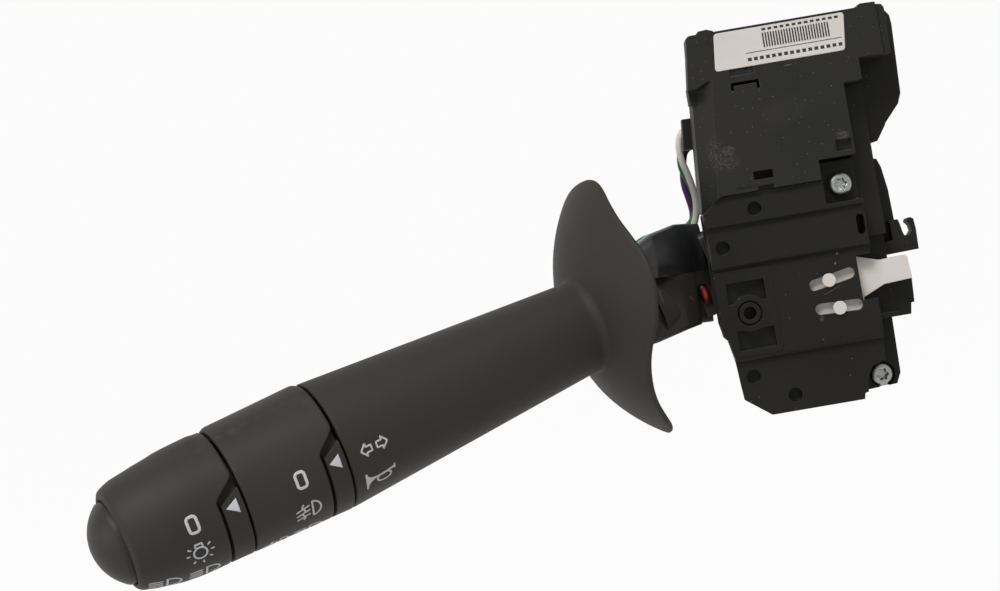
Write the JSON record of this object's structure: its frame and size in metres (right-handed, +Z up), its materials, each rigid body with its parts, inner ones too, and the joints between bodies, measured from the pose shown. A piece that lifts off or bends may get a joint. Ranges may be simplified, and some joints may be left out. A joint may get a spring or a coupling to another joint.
{
  "type": "combination stalk switch",
  "caption": "Steering column lever switch: stepped housing with cancelling pawl and harness socket, cradle-hung lever with curved shroud, turning light rings and push horn button.",
  "frame": {"origin": "on the flat back face, behind the fixing boss of the housing's front", "axes": "+Y out of the back face towards the column bracket, the driver looks along +Y; +Z up the long side of the housing; the lever points along -X"},
  "size_m": [0.1817, 0.0769, 0.0938],
  "materials": {
    "lever_plastic": "fine satin grain, warm dark grey",
    "case_plastic": "satin black with faint mould lines and dust",
    "cover_plastic": "satin black, dusty",
    "neck_plastic": "semi-gloss dark grey",
    "white_nylon": "natural white nylon",
    "red_plastic": "gloss red",
    "steel": "zinc-plated steel",
    "spring_steel": "drawn wire",
    "contact_metal": "bright contact brass",
    "board": "brown laminate",
    "wire_white": "soft insulation",
    "wire_green": "soft insulation",
    "wire_purple": "soft insulation"
  },
  "bodies": {
    "housing": {"case_body": "case_plastic", "top_cover": "cover_plastic", "back_plate": "case_plastic", "socket_shell": "case_plastic", "terminal_blades": "contact_metal", "contact_board": "board", "board_tracks": "contact_metal", "case_screws": "steel", "detent_cam": "white_nylon", "fixed_contacts": "contact_metal"},
    "cradle": {"cradle": "neck_plastic", "pull_pin": "steel"},
    "lever": {"arm_core": "neck_plastic", "neck_cover": "neck_plastic", "stop_block": "red_plastic", "detent_spring": "spring_steel", "shroud": "lever_plastic", "stalk_tube": "lever_plastic", "spindle": "lever_plastic", "retaining_clip": "spring_steel", "fog_marker_band": "lever_plastic", "light_marker_band": "lever_plastic", "fog_contact_disc": "board", "light_contact_disc": "board", "horn_spring": "spring_steel", "horn_contact": "contact_metal", "wire_white": "wire_white", "wire_green": "wire_green", "wire_purple": "wire_purple"},
    "fog_ring": {"fog_ring": "lever_plastic", "fog_wiper": "contact_metal"},
    "light_ring": {"light_ring": "lever_plastic", "light_wiper": "contact_metal"},
    "horn_button": {"horn_button": "lever_plastic"},
    "detent_plunger": {"detent_plunger": "white_nylon"},
    "contact_slider": {"contact_slider": "neck_plastic", "contact_springs": "contact_metal"},
    "cancel_slider": {"cancel_slider": "white_nylon"},
    "cancel_pawl": {"cancel_pawl": "white_nylon"}
  },
  "joints": [
    {"name": "indicator_swing", "type": "hinge", "parent": "housing", "child": "cradle", "pos_m": [0.0004, -0.0155, 0.01], "axis": [0, -1, 0], "range_deg": [-8, 8], "deforming": ["wire_white", "wire_green", "wire_purple"]},
    {"name": "flash_pull", "type": "hinge", "parent": "cradle", "child": "lever", "pos_m": [0.0004, -0.0155, 0.01], "axis": [-0.2524, 0, 0.9676], "range_deg": [0, 10], "stiffness_Nm_per_rad": 1.2, "springref_deg": -4.58},
    {"name": "fog_ring_turn", "type": "hinge", "parent": "lever", "child": "fog_ring", "pos_m": [-0.03689, -0.0296, 0.00296], "axis": [-0.9068, -0.3491, -0.2365], "range_deg": [0, 54]},
    {"name": "light_ring_turn", "type": "hinge", "parent": "lever", "child": "light_ring", "pos_m": [-0.03689, -0.0296, 0.00296], "axis": [-0.9068, -0.3491, -0.2365], "range_deg": [0, 54]},
    {"name": "horn_press", "type": "slide", "parent": "lever", "child": "horn_button", "axis": [0.9068, 0.3491, 0.2365], "range_m": [0, 0.002], "stiffness_N_per_m": 900, "springref_m": -0.0015, "deforming": ["horn_spring"]},
    {"name": "detent_plunge", "type": "slide", "parent": "lever", "child": "detent_plunger", "axis": [0.9676, 0, 0.2524], "range_m": [-0.0014, 0], "stiffness_N_per_m": 900, "springref_m": 0.002, "deforming": ["detent_spring"]},
    {"name": "contact_shift", "type": "slide", "parent": "housing", "child": "contact_slider", "axis": [0, 0, 1], "range_m": [-0.0024, 0.0024]},
    {"name": "cancel_slide", "type": "slide", "parent": "housing", "child": "cancel_slider", "axis": [1, 0, 0], "range_m": [-0.002, 0.003], "stiffness_N_per_m": 60},
    {"name": "cancel_rock", "type": "hinge", "parent": "cancel_slider", "child": "cancel_pawl", "pos_m": [0.021, -0.024, 0.0034], "axis": [0, -1, 0], "range_deg": [-10, 10], "stiffness_Nm_per_rad": 0.02}
  ],
  "couplings": [
    {"joint": "contact_shift", "follows": "indicator_swing", "m_per_rad": 0.016}
  ]
}
